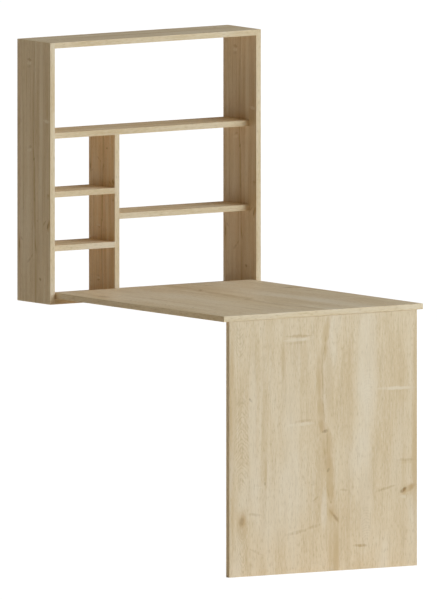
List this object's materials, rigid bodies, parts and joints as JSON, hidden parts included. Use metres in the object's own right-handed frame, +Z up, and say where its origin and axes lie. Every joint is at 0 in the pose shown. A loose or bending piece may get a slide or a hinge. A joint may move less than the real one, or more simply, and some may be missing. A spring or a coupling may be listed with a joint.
{
  "type": "fold-up wall desk",
  "caption": "Open wall cabinet with set-back shelves and a long desktop that folds up against it, standing on a wide leg panel that folds under the desktop.",
  "frame": {"origin": "on the floor, in the middle of the whole object's width and depth; the wall plane is at Y = 495 mm and the desktop's front edge at Y = -495 mm", "axes": "+Z up, +Y towards the wall, +X to the right of someone who sits at the desk"},
  "size_m": [0.714, 0.99, 1.436],
  "materials": {
    "oak_board": "matt oak-look melamine, fine pores along the grain",
    "edge_band": "satin edge band in the boards' tone",
    "hinge_steel": "bright zinc-plated steel",
    "zinc_screw": "bright zinc-plated steel",
    "cam_zinc": "die-cast zinc, satin",
    "bolt_steel": "zinc-plated steel",
    "beech": "raw grooved beech"
  },
  "bodies": {
    "cabinet": {"left_side": "oak_board", "left_side_edging": "edge_band", "right_side": "oak_board", "right_side_edging": "edge_band", "top_board": "oak_board", "top_board_edging": "edge_band", "bottom_board": "oak_board", "bottom_board_edging": "edge_band", "long_shelf": "oak_board", "long_shelf_edging": "edge_band", "divider": "oak_board", "divider_edging": "edge_band", "upper_small_shelf": "oak_board", "upper_small_shelf_edging": "edge_band", "lower_small_shelf": "oak_board", "lower_small_shelf_edging": "edge_band", "right_shelf": "oak_board", "right_shelf_edging": "edge_band", "desk_hinge_left_bottom_board_leaf": "hinge_steel", "desk_hinge_middle_bottom_board_leaf": "hinge_steel", "desk_hinge_right_bottom_board_leaf": "hinge_steel", "desk_hinge_left_pin": "hinge_steel", "desk_hinge_middle_pin": "hinge_steel", "desk_hinge_right_pin": "hinge_steel", "desk_hinge_bottom_board_screws": "zinc_screw", "upper_left_hanger": "hinge_steel", "upper_right_hanger": "hinge_steel", "lower_left_hanger": "hinge_steel", "lower_right_hanger": "hinge_steel", "hanger_screws": "zinc_screw", "cam_housings": "cam_zinc", "cam_bolts": "bolt_steel", "wooden_dowels": "beech"},
    "desk": {"desktop": "oak_board", "desktop_edging": "edge_band", "desk_hinge_left_desktop_leaf": "hinge_steel", "desk_hinge_middle_desktop_leaf": "hinge_steel", "desk_hinge_right_desktop_leaf": "hinge_steel", "desk_hinge_desktop_screws": "zinc_screw", "leg_hinge_left_desktop_leaf": "hinge_steel", "leg_hinge_middle_desktop_leaf": "hinge_steel", "leg_hinge_right_desktop_leaf": "hinge_steel", "leg_hinge_left_pin": "hinge_steel", "leg_hinge_middle_pin": "hinge_steel", "leg_hinge_right_pin": "hinge_steel", "leg_hinge_desktop_screws": "zinc_screw"},
    "leg": {"leg_panel": "oak_board", "leg_panel_edging": "edge_band", "leg_hinge_left_leg_panel_leaf": "hinge_steel", "leg_hinge_middle_leg_panel_leaf": "hinge_steel", "leg_hinge_right_leg_panel_leaf": "hinge_steel", "leg_hinge_leg_panel_screws": "zinc_screw"}
  },
  "joints": [
    {"name": "desk_fold", "type": "hinge", "parent": "cabinet", "child": "desk", "pos_m": [0, 0.3537, 0.7207], "axis": [-1, 0, 0], "range_deg": [0, 87.1]},
    {"name": "leg_fold", "type": "hinge", "parent": "desk", "child": "leg", "pos_m": [0, -0.4748, 0.7153], "axis": [1, 0, 0], "range_deg": [0, 90]}
  ]
}
